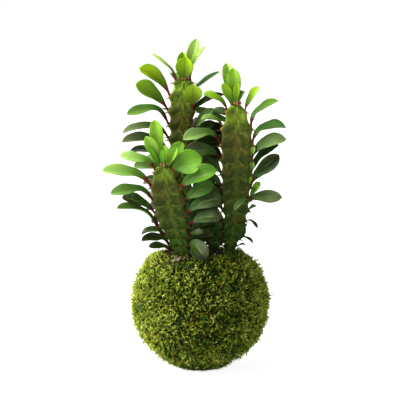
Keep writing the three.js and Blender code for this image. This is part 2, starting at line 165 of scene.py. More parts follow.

# Each stem's axis is (x, y, z), its rib radius (z, radius), and its shields run from the top one
# down. A leaf is (shield, across, rise, depth, width, turn, arch, age, painted sheen): its tip lies
# across, depth and rise from its root, turn is how far its upper face leans from upright to the
# viewer, in degrees, arch how far it bends, and age runs from 0 for a new leaf to 1; its darkest
# ages also stand as painted shade on leaves deep among the others. Painted sheen is how pale its
# outer half is painted, a painted sheen of the light on its waxy face. Leaves of a tuft have no
# shield. The dip is how far a rib's edge falls back between two shields, and gold how yellow the
# stem's young leaves are.
STEMS = {
    "front": {
        "axis": [(-17.4, -18.8, 86), (-18.4, -19.6, 117), (-21, -21.6, 133), (-25.7, -24, 150),
                 (-30.6, -26, 172), (-35.6, -28, 201), (-36.4, -28, 208)],
        "radius": [(86, 8.4), (117, 10.6), (128, 12.6), (138, 15.2), (148, 18), (160, 19.6),
                   (173, 19.6), (187, 18.4), (196, 15.4), (202, 11.6), (208, 5.4)],
        "shields": {"count": 8, "first": 202, "last": 121, "shrink": 0.5},
        "dip": 3.9,
        "gold": 0.15,
        "leaves": {
            "left": [(0, -34, 16, -7, 13, 50, 32, 0.08, 0.7), (1, -47, 17, -12, 16, 54, 26, 0.14, 0.52),
                     (2, -41, 9, -8, 14, 42, 34, 0.4, 0.2), (3, -33, 18, 4, 15, 40, 20, 0.9, 0),
                     (7, -54, 46, -17, 12, 14, 28, 0.45, 0.1), (5, -24, 5, -5, 13, 34, 34, 0.9, 0),
                     (6, -28, 6, -8, 13, 48, 34, 0.92, 0), (7, -24, 7, -4, 11, 44, 22, 0.95, 0)],
            "right": [(0, 30, 14, -12, 26, 84, 8, 0.26, 0), (1, 36, 18, -16, 22, 62, 12, 0.38, 0),
                      (2, 29, 18, -6, 17, 60, 10, 0.6, 0), (3, 35, 18, -12, 18, 60, 12, 0.88, 0),
                      (4, 33, 12, -14, 17, 58, 12, 0.9, 0.06), (5, 14, 6, -10, 8, 54, 20, 0.9, 0.1),
                      (6, 17, -10, -22, 19, 80, 26, 1, 0.02), (3, 22, 19, 6, 16, 64, 20, 1, 0),
                      (4, 22, 19, 8, 17, 64, 20, 1, 0), (5, 27, 13, 4, 17, 64, 20, 1, 0),
                      (6, 25, 8, 4, 16, 64, 20, 1, 0)],
            "back": [(0, -19, 11, 8, 14, 44, 20, 0.55, 0.2), (1, -24, 3, 6, 10, 40, 24, 0.9, 0.1),
                     (2, -22, 3, 6, 9, 50, 20, 0.75, 0.2), (2, 19, 14, 8, 14, 10, 20, 0.9, 0),
                     (4, -21, 8, 6, 11, 20, 20, 1, 0), (3, 30, 7, 6, 15, 60, 16, 1, 0),
                     (5, 26, 7, 7, 17, 64, 16, 1, 0), (6, 27, 2, 8, 17, 64, 16, 1, 0),
                     (7, 22, 1, 6, 13, 60, 16, 1, 0)],
        },
        "tuft": [(-6, 52, 2, 14, 88, 3, 0.02, 0.1), (-14, 36, -6, 13, 74, 12, 0.05, 0.2),
                 (-12, 26, -9, 7, 60, 20, 0, 0), (-1, 24, -6, 5, 80, 6, 0, 0),
                 (11, 27, -9, 13, 72, 14, 0.04, 0.1),
                 (16, 30, 5, 13, 62, 12, 0.06, 0.1), (-1, 27, 13, 11, 30, 18, 0.2, 0)],
    },
    "right": {
        "axis": [(27.4, 0, 86), (28.9, 0, 117), (30.6, 0.5, 127), (33.4, 1, 142), (35.4, 1.5, 160),
                 (35.8, 2, 200), (36.3, 2, 240), (35.2, 2, 266)],
        "radius": [(86, 7.6), (117, 9.2), (128, 10.8), (142, 13.2), (152, 15.2), (165, 17.6),
                   (185, 18.8), (211, 19.8), (226, 20.4), (242, 19), (251, 16.2), (258.5, 12.8),
                   (266.5, 5.4)],
        "shields": {"count": 12, "first": 258.5, "last": 124, "shrink": 0.46},
        "dip": 4.2,
        "gold": 0.6,
        "leaves": {
            "left": [(0, -24, 17, -3, 15, 38, 28, 0.05, 0.1), (1, -21, 10, -3, 11, 40, 32, 0.34, 0.42),
                     (2, -37, 7, -15, 15, 52, 36, 0.46, 0.42), (3, -36, 9, -5, 17, 50, 26, 0.88, 0.15),
                     (4, -25, 10, 2, 17, 60, 22, 0.95, 0), (5, -27, 11, -6, 17, 60, 22, 1, 0),
                     (6, -28, 11, 1, 17, 60, 22, 1, 0), (7, -28, 10, -4, 17, 60, 22, 1, 0),
                     (8, -27, 9, 2, 16, 60, 22, 1, 0), (9, -25, 9, -4, 16, 60, 22, 1, 0),
                     (10, -22, 6, 1, 15, 60, 22, 1, 0), (11, -18, 5, 2, 13, 60, 22, 1, 0),
                     (11, -15, -2, -4, 13, 64, 26, 1, 0)],
            "right": [(0, 14, 24, -3, 11, 50, 14, 0.03, 0), (1, 26, 28, -5, 14, 34, 34, 0.36, 0.02),
                      (2, 32, 19, -8, 17, 46, 34, 0.5, 0.06), (3, 33, 22, -6, 17, 54, 22, 0.62, 0.44),
                      (4, 28, 28, 8, 15, 44, 16, 0.84, 0), (5, 28, 32, -4, 22, 84, 14, 0.9, 0.06),
                      (6, 31, 3, -10, 17, 82, 12, 0.8, 0.32), (6, -16, -8, -17, 7, 58, 34, 0.7, 0.3),
                      (6, 10, 17, 2, 9, 64, 10, 0.25, 0), (7, 8, 5, 2, 5, 50, 10, 0.35, 0),
                      (3, 2.5, 14, -1, 6, 60, 10, 0.3, 0.4), (4, 2, 12.5, -1, 6, 60, 10, 0.35, 0.2),
                      (5, 2, 13, 0, 3.6, 60, 10, 0.1, 0),
                      (8, 12, -7, -4, 5, 24, 30, 0.95, 0), (8, -5, -16, -12, 11, 60, 20, 0.8, 0),
                      (10, 14, -3, -3, 4.5, 20, 30, 0.95, 0), (11, 8, 3, -3, 4.5, 20, 10, 0.95, 0)],
            "back": [(0, -10, 20, 16, 10, 60, 10, 0.5, 0), (0, 8, 20, 14, 9, 60, 10, 0.5, 0),
                     (1, -24, 17, 20, 12, 24, 20, 0.75, 0.1), (1, -42, 18, 8, 11, 60, 12, 0.5, 0.3),
                     (2, -33, 15, 24, 15, 50, 24, 0.9, 0), (3, -23, 22, 20, 13, 54, 24, 0.6, 0.2),
                     (3, 21, 11, 22, 12, 44, 20, 0.4, 0.4), (4, 20, 8, 22, 11, 44, 20, 0.35, 0.3),
                     (5, 19, 5, 22, 9, 60, 10, 0.12, 0), (4, -13, 9, 34, 18, 30, 26, 0.95, 0),
                     (6, -11, 3, 30, 17, 30, 26, 0.95, 0), (7, 16, 5, 25, 15, 20, 24, 0.9, 0),
                     (8, -10, 3, 25, 15, 30, 24, 0.95, 0), (9, 12, -1, 21, 12, 10, 24, 0.95, 0)],
        },
        "tuft": [(-7, 48, 3, 18, 84, 4, 0.06, 0.4), (-2, 43, -4, 15, 84, 4, 0.1, 0.1),
                 (-11, 28, -8, 10, 66, 12, 0, 0), (1, 29, -8, 7.5, 70, 6, 0, 0)],
    },
    "rear": {
        "axis": [(-14.4, 17, 86), (-15.4, 18, 117), (-17.6, 20, 150), (-19.4, 21, 190), (-20, 21, 240),
                 (-18.6, 21, 270), (-16.8, 21, 290)],
        "radius": [(86, 8), (117, 10.4), (140, 13.2), (165, 15.6), (200, 16.2), (240, 15.6),
                   (258, 16.8), (272.5, 16.4), (281, 14.4), (287.4, 11.6), (290.5, 6)],
        "shields": {"count": 14, "first": 287.4, "last": 123, "shrink": 0.7},
        "dip": 5.2,
        "gold": 0.95,
        "leaves": {
            "left": [(0, -24, 28, 0, 8, 14, 20, 0.12, 0.2), (1, -30, 29, -6, 18, 62, 12, 0.05, 0),
                     (2, -32, 28, -4, 19, 56, 12, 0.3, 0), (3, -42, 12, -8, 13, 34, 37, 0.42, 0.1),
                     (4, -47, 8, -3, 14, 44, 33, 0.78, 0.26), (5, -47, 11, -6, 17, 50, 30, 0.8, 0.3),
                     (6, -40, 15, 2, 14, 36, 24, 1, 0), (7, -36, 12, -2, 16, 58, 24, 0.55, 0.3),
                     (8, -28, 7, 6, 12, 40, 24, 0.9, 0.1), (9, -24, 6, 2, 12, 40, 24, 0.75, 0.2),
                     (10, -27, 3, 6, 12, 36, 24, 1, 0), (11, -23, 2, 4, 11, 36, 24, 1, 0)],
            "right": [(0, 15, 35, 4, 8, 20, 20, 0.2, 0.3), (2, 0, 27, -14, 20, 86, 16, 0.14, 0.1),
                      (2, 26, 40, 4, 9, 14, 36, 0.5, 0), (3, 32, 33, 6, 13, 26, 30, 0.9, 0),
                      (4, 22, 31, 3, 11, 54, 10, 0.45, 0.3), (4, 32, 7, 7, 20, 70, 26, 0.95, 0),
                      (5, 23, 31, 3, 16, 50, 26, 0.95, 0), (5, 31, 9, 9, 20, 70, 24, 0.95, 0),
                      (6, 30, 11, 6, 20, 72, 24, 1, 0), (7, 27, 13, 10, 20, 72, 24, 1, 0),
                      (8, 23, 9, 5, 19, 72, 24, 1, 0), (9, 35, 11, 10, 20, 76, 22, 1, 0),
                      (10, 31, 13, 5, 20, 76, 22, 1, 0), (11, 29, 9, 9, 20, 76, 22, 1, 0),
                      (12, 36, 9, 6, 19, 76, 22, 1, 0), (13, 37, 5, 9, 18, 76, 22, 1, 0)],
            "back": [(1, -12, 24, 24, 14, 20, 24, 0.4, 0), (2, 15, 20, 29, 16, 10, 26, 0.6, 0),
                     (3, -17, 15, 33, 17, 10, 28, 0.7, 0), (4, 14, 14, 34, 17, 10, 28, 0.8, 0),
                     (5, -15, 12, 35, 17, 10, 26, 0.9, 0), (6, 17, 10, 33, 17, 10, 26, 0.9, 0),
                     (7, -15, 9, 31, 16, 10, 26, 0.9, 0), (8, 14, 8, 29, 15, 10, 26, 1, 0),
                     (9, -13, 6, 26, 14, 10, 24, 1, 0), (10, 12, 5, 23, 13, 10, 24, 1, 0),
                     (12, -10, 3, 17, 10, 10, 22, 1, 0)],
        },
        "tuft": [(2, 30, -8, 20, 86, 4, 0.05, 0), (0, 35, -3, 16, 86, 4, 0.03, 0),
                 (11, 48, 4, 12, 80, 6, 0.16, 0.6), (-4, 19, -6, 5, 50, 20, 0, 0)],
    },
}


def add_camera():
    back = Vector((0, -cos(radians(CAMERA_RISE)), sin(radians(CAMERA_RISE))))
    bpy.ops.object.camera_add(location=(LOOK_AT + back * CAMERA_DISTANCE) * MM)
    camera = bpy.context.object
    camera.rotation_euler = (-back).to_track_quat("-Z", "Y").to_euler()
    camera.data.sensor_width = SENSOR_WIDTH
    camera.data.lens = SENSOR_WIDTH * CAMERA_DISTANCE / PHOTO_WIDTH
    bpy.context.scene.camera = camera


# Numbers and shapes

def draws(count, k):
    """Even numbers from 0 to 1, the same at every run."""
    wave = np.sin(np.arange(count) * 12.9898 + k * 78.233) * 43758.5453
    return wave - np.floor(wave)


def smooth_at(rows, t):
    """A smooth curve through rows of (t, value). Its slope at a row is that between its neighbours."""
    at, value = np.array(rows, float).T
    before = np.maximum(np.arange(len(at)) - 1, 0)
    after = np.minimum(np.arange(len(at)) + 1, len(at) - 1)
    slope = (value[after] - value[before]) / (at[after] - at[before])
    i = np.clip(np.searchsorted(at, t) - 1, 0, len(at) - 2)
    span = at[i + 1] - at[i]
    u = np.clip((t - at[i]) / span, 0, 1)
    ends = (1 + 2 * u) * (1 - u) ** 2 * value[i] + u * u * (3 - 2 * u) * value[i + 1]
    return ends + u * (1 - u) * span * ((1 - u) * slope[i] - u * slope[i + 1])


def unit(vectors):
    return vectors / np.linalg.norm(vectors, axis=-1, keepdims=True)


def clumps(points, width, seed):
    """Noise from about -1 to 1 at each point, in clumps of that width."""
    shift = Vector((seed * 17.3, seed * 5.1, seed * 9.7))
    return np.array([noise.noise(Vector(p) / width + shift) for p in points])


def fade(low, high, x):
    """0 at low, 1 at high, and smooth between them."""
    u = np.clip((x - low) / (high - low), 0, 1)
    return u * u * (3 - 2 * u)


def points_of(obj):
    """The places of a mesh's points, in millimetres."""
    found = np.zeros(len(obj.data.vertices) * 3)
    obj.data.vertices.foreach_get("co", found)
    return found.reshape(-1, 3) / MM


def place_points(obj, points):
    obj.data.vertices.foreach_set("co", (points * MM).ravel())
    obj.data.update()


def set_fact(mesh, name, values):
    """A number at each point of a mesh, which its material reads."""
    fact = mesh.attributes.new(name, "FLOAT", "POINT")
    fact.data.foreach_set("value", np.asarray(values, np.float32).ravel())


def start_piece():
    bpy.ops.object.select_all(action="DESELECT")


def gather(name, blank, copies, facts):
    """One piece made of copies of a blank. copies holds each copy's points, in millimetres."""
    count, size = copies.shape[:2]
    source = blank.data
    corners = np.zeros(len(source.loops), np.int32)
    source.loops.foreach_get("vertex_index", corners)
    starts = np.zeros(len(source.polygons), np.int32)
    source.polygons.foreach_get("loop_start", starts)
    copy = np.arange(count)[:, None]
    mesh = bpy.data.meshes.new(name)
    mesh.vertices.add(count * size)
    mesh.vertices.foreach_set("co", (copies * MM).ravel())
    mesh.loops.add(count * len(corners))
    mesh.loops.foreach_set("vertex_index", (corners + copy * size).ravel())
    mesh.polygons.add(count * len(starts))
    mesh.polygons.foreach_set("loop_start", (starts + copy * len(corners)).ravel())
    mesh.update(calc_edges=True)
    for fact, values in facts.items():
        set_fact(mesh, fact, values)
    mesh.validate()
    piece = bpy.data.objects.new(name, mesh)
    bpy.context.scene.collection.objects.link(piece)
    return piece


def joined(parts):
    start_piece()
    for part in parts:
        part.select_set(True)
    bpy.context.view_layer.objects.active = parts[0]
    bpy.ops.object.join()
    return bpy.context.object


def smooth(piece):
    piece.data.polygons.foreach_set("use_smooth", [True] * len(piece.data.polygons))
    return piece


def finish_piece(piece, material, slot, *nodes):
    piece.data.materials.clear()
    piece.data.materials.append(material)
    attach(piece, "root")
    if nodes:
        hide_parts(*nodes)


# Materials

def linear(code):
    """An sRGB hex colour as the linear RGBA that a shader reads."""
    parts = [int(code[i:i + 2], 16) / 255 for i in (1, 3, 5)]
    return tuple(p / 12.92 if p <= 0.04045 else ((p + 0.055) / 1.055) ** 2.4 for p in parts) + (1.0,)


def add(tree, kind, inputs=None, **settings):
    """Adds a node with its settings. An input is a value, or an output to link from."""
    made = tree.nodes.new(kind)
    for name, value in settings.items():
        setattr(made, name, value)
    for key, value in (inputs or {}).items():
        if isinstance(value, bpy.types.NodeSocket):
            tree.links.new(value, made.inputs[key])
        else:
            made.inputs[key].default_value = value
    return made


def new_material(name, *facts):
    """A material and its nodes, with the facts that it reads at the points of its piece."""
    material = bpy.data.materials.new(name)
    material.use_nodes = True
    tree = material.node_tree
    read = [add(tree, "ShaderNodeAttribute", attribute_name=fact).outputs["Fac"] for fact in facts]
    return material, tree, *read


def portion(tree, value, low, high, most=1.0, within=None, least=0.0):
    """From least to most as a value goes from low to high, times the portion that it is within."""
    reached = add(tree, "ShaderNodeMapRange", {0: value, 1: low, 2: high, 3: least, 4: most},
                  interpolation_type="SMOOTHSTEP").outputs[0]
    if within is None:
        return reached
    return add(tree, "ShaderNodeMath", {0: reached, 1: within}, operation="MULTIPLY").outputs[0]


def hump(tree, value, centre, far, near, within=None):
    """1 where a value is within near of the centre, falling to 0 at far from it."""
    gap = add(tree, "ShaderNodeMath", {0: value, 1: centre}, operation="SUBTRACT").outputs[0]
    away = add(tree, "ShaderNodeMath", {0: gap}, operation="ABSOLUTE").outputs[0]
    return portion(tree, away, far, near, within=within)


def grain(tree, width, detail=2):
    """Noise whose spots are about that many millimetres across."""
    place = add(tree, "ShaderNodeTexCoord").outputs["Object"]
    return add(tree, "ShaderNodeTexNoise", {"Vector": place, "Scale": 1 / (width * MM), "Detail": detail}
               ).outputs["Fac"]


def layered(tree, ground, layers):
    """Colours laid over a ground one by one, each where its portion shows it."""
    paint = linear(ground) if isinstance(ground, str) else ground
    for shown, colour in layers:
        over = linear(colour) if isinstance(colour, str) else colour
        paint = add(tree, "ShaderNodeMix", {0: shown, 6: paint, 7: over}, data_type="RGBA").outputs[2]
    return paint


def dress(material, paint, roughness, gloss=0.5, pores=None):
    """Gives a material its colour, roughness and gloss. Pores have a width, a detail and a depth."""
    tree = material.node_tree
    surface = tree.nodes["Principled BSDF"].inputs
    tree.links.new(paint, surface["Base Color"])
    if isinstance(roughness, bpy.types.NodeSocket):
        tree.links.new(roughness, surface["Roughness"])
    else:
        surface["Roughness"].default_value = roughness
    surface["Specular IOR Level"].default_value = gloss
    if pores:
        width, detail, depth = pores
        relief = add(tree, "ShaderNodeBump", {"Height": grain(tree, width, detail), "Distance": depth * MM})
        tree.links.new(relief.outputs[0], surface["Normal"])
    return material


def speckled(name, colours, spots, *surface):
    """A ground colour and spots that fade in from low to high in a noise of that width and detail."""
    material, tree = new_material(name)
    ground, spot = colours
    width, detail, low, high = spots
    shown = portion(tree, grain(tree, width, detail), low, high)
    return dress(material, layered(tree, ground, [(shown, spot)]), *surface)


def moss_leaf(name, root, body, tip, patch):
    """Living moss leaflets, one cell thick: pale tips over dark roots, whose darkness is partly the
    moss's own and partly painted shade deep among the shoots.
    """
    material, tree, tone, height = new_material(name, "tone", "height")
    leafy = layered(tree, body, [(portion(tree, tone, 0.25, 1.0), tip),
                                 (portion(tree, grain(tree, 8), 0.48, 0.64), patch)])
    # Painted shade: each shoot darker towards its root, deep in the moss
    grown = layered(tree, root, [(portion(tree, height, 0.1, 0.85), leafy)])
    return dress(material, grown, 0.7, 0.02)


def moss_felt():
    """The damp felt of old brown shoots under the living ones. Its near-black colour is partly its own
    and partly painted shade in the gaps between the living shoots.
    """
    return speckled("moss_felt", ("#141a06", "#272d0e"), (3, 4, 0.35, 0.65), 0.95, 0.02, (0.9, 3, 0.6))


def potting_soil():
    """Damp clay and peat, crumbled by hand: nearly black in its pores, brown on its crumbs."""
    return speckled("clay_peat_soil", ("#120e07", "#302517"), (2.2, 5, 0.35, 0.7), 0.9, 0.1, (1.2, 4, 0.7))


def volcanic_grit():
    """Fired clay and pumice grains, pale and full of fine pores."""
    return speckled("pumice_grit", ("#50462f", "#938560"), (1.6, 3, 0.35, 0.65), 0.92, 0.5, (0.5, 2, 0.3))


def cotton_thread():
    """Two-ply cotton thread, stained green by the moss."""
    return speckled("cotton_thread", ("#2b2c16", "#4d4a2a"), (2.5, 2, 0.35, 0.65), 0.9)


def succulent_skin():
    """Waxy stem skin: lime at its tip, olive brown below, deep green at its foot, marbled all over.
    Rows of dark cells on its faces are painted shade, as under the swellings at each shield, and
    its pale crescents are partly its own scale edges and partly painted highlight.
    """
    material, tree, rise, face, tier = new_material("succulent_skin", "rise", "face", "tier")
    wobble = add(tree, "ShaderNodeMath", {0: grain(tree, 8), 1: 0.9, 2: tier}, operation="MULTIPLY_ADD")
    wave = add(tree, "ShaderNodeMath", {0: wobble.outputs[0]}, operation="FRACT").outputs[0]
    step = add(tree, "ShaderNodeMath", {0: tier}, operation="FRACT").outputs[0]
    on_side = hump(tree, face, 0.42, 0.42, 0.2)
    # Painted shade: a dark cell on each face between shields, as under a swelling
    cell = hump(tree, wave, 0.5, 0.4, 0.12, on_side)
    # Partly the skin's pale scale edges, partly painted highlight where each swelling catches the light
    crescent = hump(tree, wave, 0.94, 0.14, 0.03, on_side)
    edge = portion(tree, face, 0.13, 0.03, within=portion(tree, rise, 0.5, 0.95, least=0.1))
    between_teeth = hump(tree, step, 0.5, 0.45, 0.2)
    skin = layered(tree, "#2e530b", [
        (portion(tree, rise, 0.0, 0.5), "#32440b"),
        (portion(tree, rise, 0.45, 0.75), "#44460f"),
        (portion(tree, rise, 0.76, 1.0), "#7a9d26"),
        (portion(tree, face, 0.55, 1.0, 0.35), "#5a671e"),
        # Painted shade in the dark cells
        (portion(tree, cell, 0.0, 1.0, 0.6), "#1c2d08"),
        (portion(tree, grain(tree, 4.2), 0.42, 0.64, 0.45), "#1f3008"),
        (portion(tree, grain(tree, 11), 0.5, 0.72, 0.5), "#4f4818"),
        # Pale crescents, partly painted highlight
        (portion(tree, grain(tree, 5), 0.38, 0.62, 0.42, crescent), "#748434"),
        (portion(tree, grain(tree, 2.6, 1), 0.5, 0.7, 0.2), "#66732c"),
        (portion(tree, between_teeth, 1.0, 0.0, within=edge), "#8a6a30")])
    roughness = portion(tree, grain(tree, 5), 0.3, 0.7, 0.66, least=0.5)
    return dress(material, skin, roughness, 0.12, (3.5, 2, 0.2))


def waxy_leaf():
    """Waxy leaf: lime and bright when young, deep green when old, on a dark red petiole. Its darkest
    green is partly painted shade, it is painted darker towards its base as shade, and some leaves
    carry a painted sheen of the light, pale over their outer half.
    """
    material, tree, age, along, across, seed, painted_sheen = new_material(
        "waxy_leaf", "age", "along", "across", "seed", "painted_sheen")
    young = layered(tree, "#64a61e", [(seed, "#8fb400")])
    painted_sheen_colour = layered(tree, "#b8df7e", [(age, "#868c6a")])
    plain = portion(tree, along, 0.98, 0.6, 0.35)
    golden = portion(tree, along, 0.95, 0.75, 0.5)
    pale = add(tree, "ShaderNodeMix", {0: portion(tree, seed, 0.6, 0.8), 2: plain, 3: golden}).outputs[0]
    brown = portion(tree, along, portion(tree, seed, 0.6, 0.8, 1.1, least=0.75), 0.4)
    midrib = layered(tree, "#8fa24c", [(brown, "#5c3a14")])
    stalk = portion(tree, along, 0.31, 0.19)
    petiole = layered(tree, "#5a180b", [(portion(tree, age, 0.1, 0.6), "#38130a")])
    blade = layered(tree, young, [
        (portion(tree, age, 0.05, 0.5), "#3a661c"),
        # The darkest green of old leaves, also painted shade on the leaves deep among the others
        (portion(tree, age, 0.45, 0.95), "#182208"),
        # Painted shade: the blade darker towards its base
        (portion(tree, along, 0.85, 0.3, 0.75), "#234a0a"),
        (portion(tree, grain(tree, 7, 3), 0.42, 0.7, 0.2), "#4f6b26"),
        # Painted sheen: a pale colour over the outer half of some leaves, standing for the light's sheen on
        # their waxy face
        (portion(tree, along, 0.35, 0.9, within=painted_sheen, least=0.15), painted_sheen_colour),
        (portion(tree, across, 0.1, 0.03, within=pale), midrib),
        (stalk, petiole)])
    return dress(material, blade, portion(tree, stalk, 0.0, 1.0, 0.8, least=0.46), 0.14, (5, 1, 0.06))


def horny_spine():
    """Horny spines, red-brown and polished like a thorn."""
    material, tree, height = new_material("horny_spine", "height")
    return dress(material, layered(tree, "#5a2a1a", [(portion(tree, height, 0.0, 0.8), "#1c0d09")]), 0.45)


def stipule_bud():
    """Dry stipule scales round the growing point, red-brown with tan rims."""
    return speckled("stipule_bud", ("#6b1e14", "#b98a62"), (1.5, 2, 0.4, 0.6), 0.6)


# Moss ball

def foot_press(directions):
    """1 where the ball is pressed smooth under its weight, and 0 away from there."""
    from_foot = np.degrees(np.arccos(np.clip(-directions[:, 2], -1, 1)))
    return 1 - fade(FOOT_ANGLE, FOOT_FADE, from_foot)


def mat_surface(directions):
    """The places on the moss mat in those directions from the ball's centre."""
    press = foot_press(directions)
    relief = MAT_RELIEF * clumps(directions * MAT_RADIUS, CLUMP, 1) * (1 - press)
    radius = MAT_RADIUS + relief + (FOOT_RADIUS - MAT_RADIUS) * press
    points = directions * radius[:, None] + (0, 0, BALL_RISE)
    points[:, 2] = np.maximum(points[:, 2], MAT_FLOOR)
    return points


def build_mat():
    """A sphere, opened at the crown and given its thickness inwards."""
    start_piece()
    bpy.ops.mesh.primitive_uv_sphere_add(segments=120, ring_count=80, radius=MAT_RADIUS * MM)
    mat = bpy.context.object
    mat.name = mat.data.name = "moss_mat"
    bpy.ops.object.mode_set(mode="EDIT")
    bpy.ops.mesh.select_all(action="SELECT")
    rim = (MAT_RADIUS ** 2 - CROWN_RADIUS ** 2) ** 0.5 * MM
    bpy.ops.mesh.bisect(plane_co=(0, 0, rim), plane_no=(0, 0, 1), clear_outer=True)
    bpy.ops.object.mode_set(mode="OBJECT")
    place_points(mat, mat_surface(unit(points_of(mat))))
    wall = mat.modifiers.new("wall", "SOLIDIFY")
    wall.thickness = MAT_THICKNESS * MM
    wall.offset = -1
    bpy.ops.object.modifier_apply(modifier="wall")
    points = points_of(mat)
    points[:, 2] = np.maximum(points[:, 2], MAT_FLOOR)
    place_points(mat, points)
    finish_piece(smooth(mat), moss_felt(), "moss", "moss_cover")


def tilted(points, degrees):
    """Turned about Y, so that the top leans to +X."""
    turn = radians(degrees)
    return points @ np.array([[cos(turn), 0, -sin(turn)], [0, 1, 0], [sin(turn), 0, cos(turn)]])


def tipped(points, degrees):
    """Turned about X, so that +Y rises."""
    turn = radians(degrees)
    return points @ np.array([[1, 0, 0], [0, cos(turn), sin(turn)], [0, -sin(turn), cos(turn)]])


def swung(points, degrees):
    """Turned about Z."""
    turn = radians(degrees)
    return points @ np.array([[cos(turn), sin(turn), 0], [-sin(turn), cos(turn), 0], [0, 0, 1]])


def shoot_blank():
    """One shoot: a bent stalk with pointed leaflets that hug it, all flattened three-sided cones."""
    leaflets = [(0, 0, 0, 0.3, SHOOT_HEIGHT)]  # lean, swing, height, radius and length
    for i in range(SHOOT_LEAFLETS):
        leaflets.append((38 - 2 * i, LEAF_TURN * i, 0.5 + 0.54 * i, 0.38, 2.0 - 0.08 * i))
    parts = []
    for lean, swing, height, radius, length in leaflets:
        start_piece()
        bpy.ops.mesh.primitive_cone_add(vertices=3, radius1=radius * MM, radius2=0, depth=length * MM)
        leaflet = bpy.context.object
        points = (points_of(leaflet) + (0, 0, length / 2)) * (1, 0.5, 1)
        place_points(leaflet, swung(tilted(points, lean), swing) + (0, 0, height))
        parts.append(leaflet)
    shoot = joined(parts)
    points = points_of(shoot)
    points[:, 0] += SHOOT_BEND * points[:, 2] ** 2
    place_points(shoot, points)
    return shoot


def even_directions(count):
    """Directions spread evenly over a ball by the golden angle."""
    i = np.arange(count) + 0.5
    height = 1 - 2 * i / count
    turn = pi * (1 + 5 ** 0.5) * i
    flat = np.sqrt(1 - height ** 2)
    return np.stack([flat * np.cos(turn), flat * np.sin(turn), height], 1)


def centred_draws(count, first):
    """Three draws for each copy, from -0.5 to 0.5."""
    return np.stack([draws(count, first + k) for k in range(3)], 1) - 0.5


def on_right(places):
    """1 on the viewer's right of the crown, where the moss creeps furthest over the soil."""
    return fade(-12, 8, places[:, 0])


def moss_grounds(count):
    """Where shoots grow, and which way is outwards there: all over the mat, and a little over the soil."""
    roots = unit(even_directions(count) + centred_draws(count, 2) * SHOOT_SCATTER)
    places = mat_surface(roots)
    upper = places[:, 2] > BALL_RISE
    from_centre = np.hypot(places[:, 0], places[:, 1])
    top = upper & (from_centre < CROWN_RADIUS)
    places[top, 2] = soil_height(places[top, 0], places[top, 1]) + SHOOT_SINK
    bare = top & (from_centre < RIM_RADIUS - RIM_CREEP * on_right(places))
    for stem in STEMS.values():
        x, y = stem["axis"][1][:2]
        bare |= top & (np.hypot(places[:, 0] - x, places[:, 1] - y) < STEM_CLEARANCE)
    x, y, gap = GRIT_GAP
    bare |= upper & (np.hypot(places[:, 0] - x, places[:, 1] - y) < gap)
    return places[~bare], roots[~bare]


def moss_order(places, lower):
    """The shoots' order from the deepest tone to the freshest: clumped, with the fresh tones as
    painted light on the lit sides and the deep tones as painted shade low on the ball and under
    the leaves.
    """
    # Painted light and shade: fresh shoots where the lamps light the sides, deep ones under the leaves and
    # low on the ball
    painted_light = 0.28 * fade(-15, -60, places[:, 0]) + 0.25 * fade(35, 62, places[:, 0])
    painted_shade = fade(100, 118, places[:, 2]) * fade(-30, -5, places[:, 0])
    rank = draws(len(places), 1) + 0.5 * clumps(places, 16, 5) - 0.22 * lower + painted_light - 0.3 * painted_shade
    return np.argsort(rank)


def shoot_frames(places, roots, lower):
    """Each shoot's own X, Y and Z, scaled to its size."""
    total = len(places)
    press = foot_press(roots)
    side = centred_draws(total, 5)
    side = unit(side - (side * roots).sum(1, keepdims=True) * roots)
    lean = SHOOT_LEAN * (0.15 + 1.5 * draws(total, 8)) + 0.7 * lower + 2.0 * press
    up = unit(roots + side * lean[:, None])
    size = (0.8 + 0.45 * draws(total, 9) + 0.2 * clumps(places, CLUMP, 2)) * (1 - 0.5 * press)
    from_centre = np.hypot(places[:, 0], places[:, 1])
    at_rim = (places[:, 2] > BALL_RISE) * fade(CROWN_RADIUS + 8, CROWN_RADIUS, from_centre)
    size *= 1 - 0.45 * at_rim * (1 - 0.6 * on_right(places))
    stray = 1 + 0.6 * fade(0.9, 1.0, draws(total, 13)) * (1 - press)
    other = unit(np.cross(up, side))
    spin = 2 * pi * draws(total, 10)
    x_way = unit(np.cross(other, up)) * np.cos(spin)[:, None] + other * np.sin(spin)[:, None]
    frames = np.stack([x_way, np.cross(up, x_way), up * stray[:, None]], 1)
    return frames * size[:, None, None]


def build_shoots():
    blank = shoot_blank()
    shape = points_of(blank)
    height = np.clip(shape[:, 2] / SHOOT_HEIGHT, 0, 1)
    wanted = sum(row[0] for row in SHOOTS.values())
    places, roots = moss_grounds(int(wanted * SHOOT_SPARE))
    lower = fade(BALL_RISE + 20, BALL_RISE - 55, places[:, 2])
    order = moss_order(places, lower)
    places, roots, lower = places[order], roots[order], lower[order]
    frames = shoot_frames(places, roots, lower)
    first = 0
    for tone, (count, lift, scale, *colours) in SHOOTS.items():
        mine = slice(first, first + count)
        first += count
        own = shape[None] @ (frames[mine] * scale) + (places + roots * (lift - SHOOT_SINK))[mine][:, None]
        own[..., 2] = np.maximum(own[..., 2], SHOOT_FLOOR)
        facts = {"height": np.tile(height, len(own)), "tone": np.repeat(draws(len(own), 11), len(shape))}
        piece = gather("moss_shoots_" + tone, blank, own, facts)
        finish_piece(piece, moss_leaf("moss_leaf_" + tone, *colours), "moss", "moss_cover")
    bpy.data.objects.remove(blank)


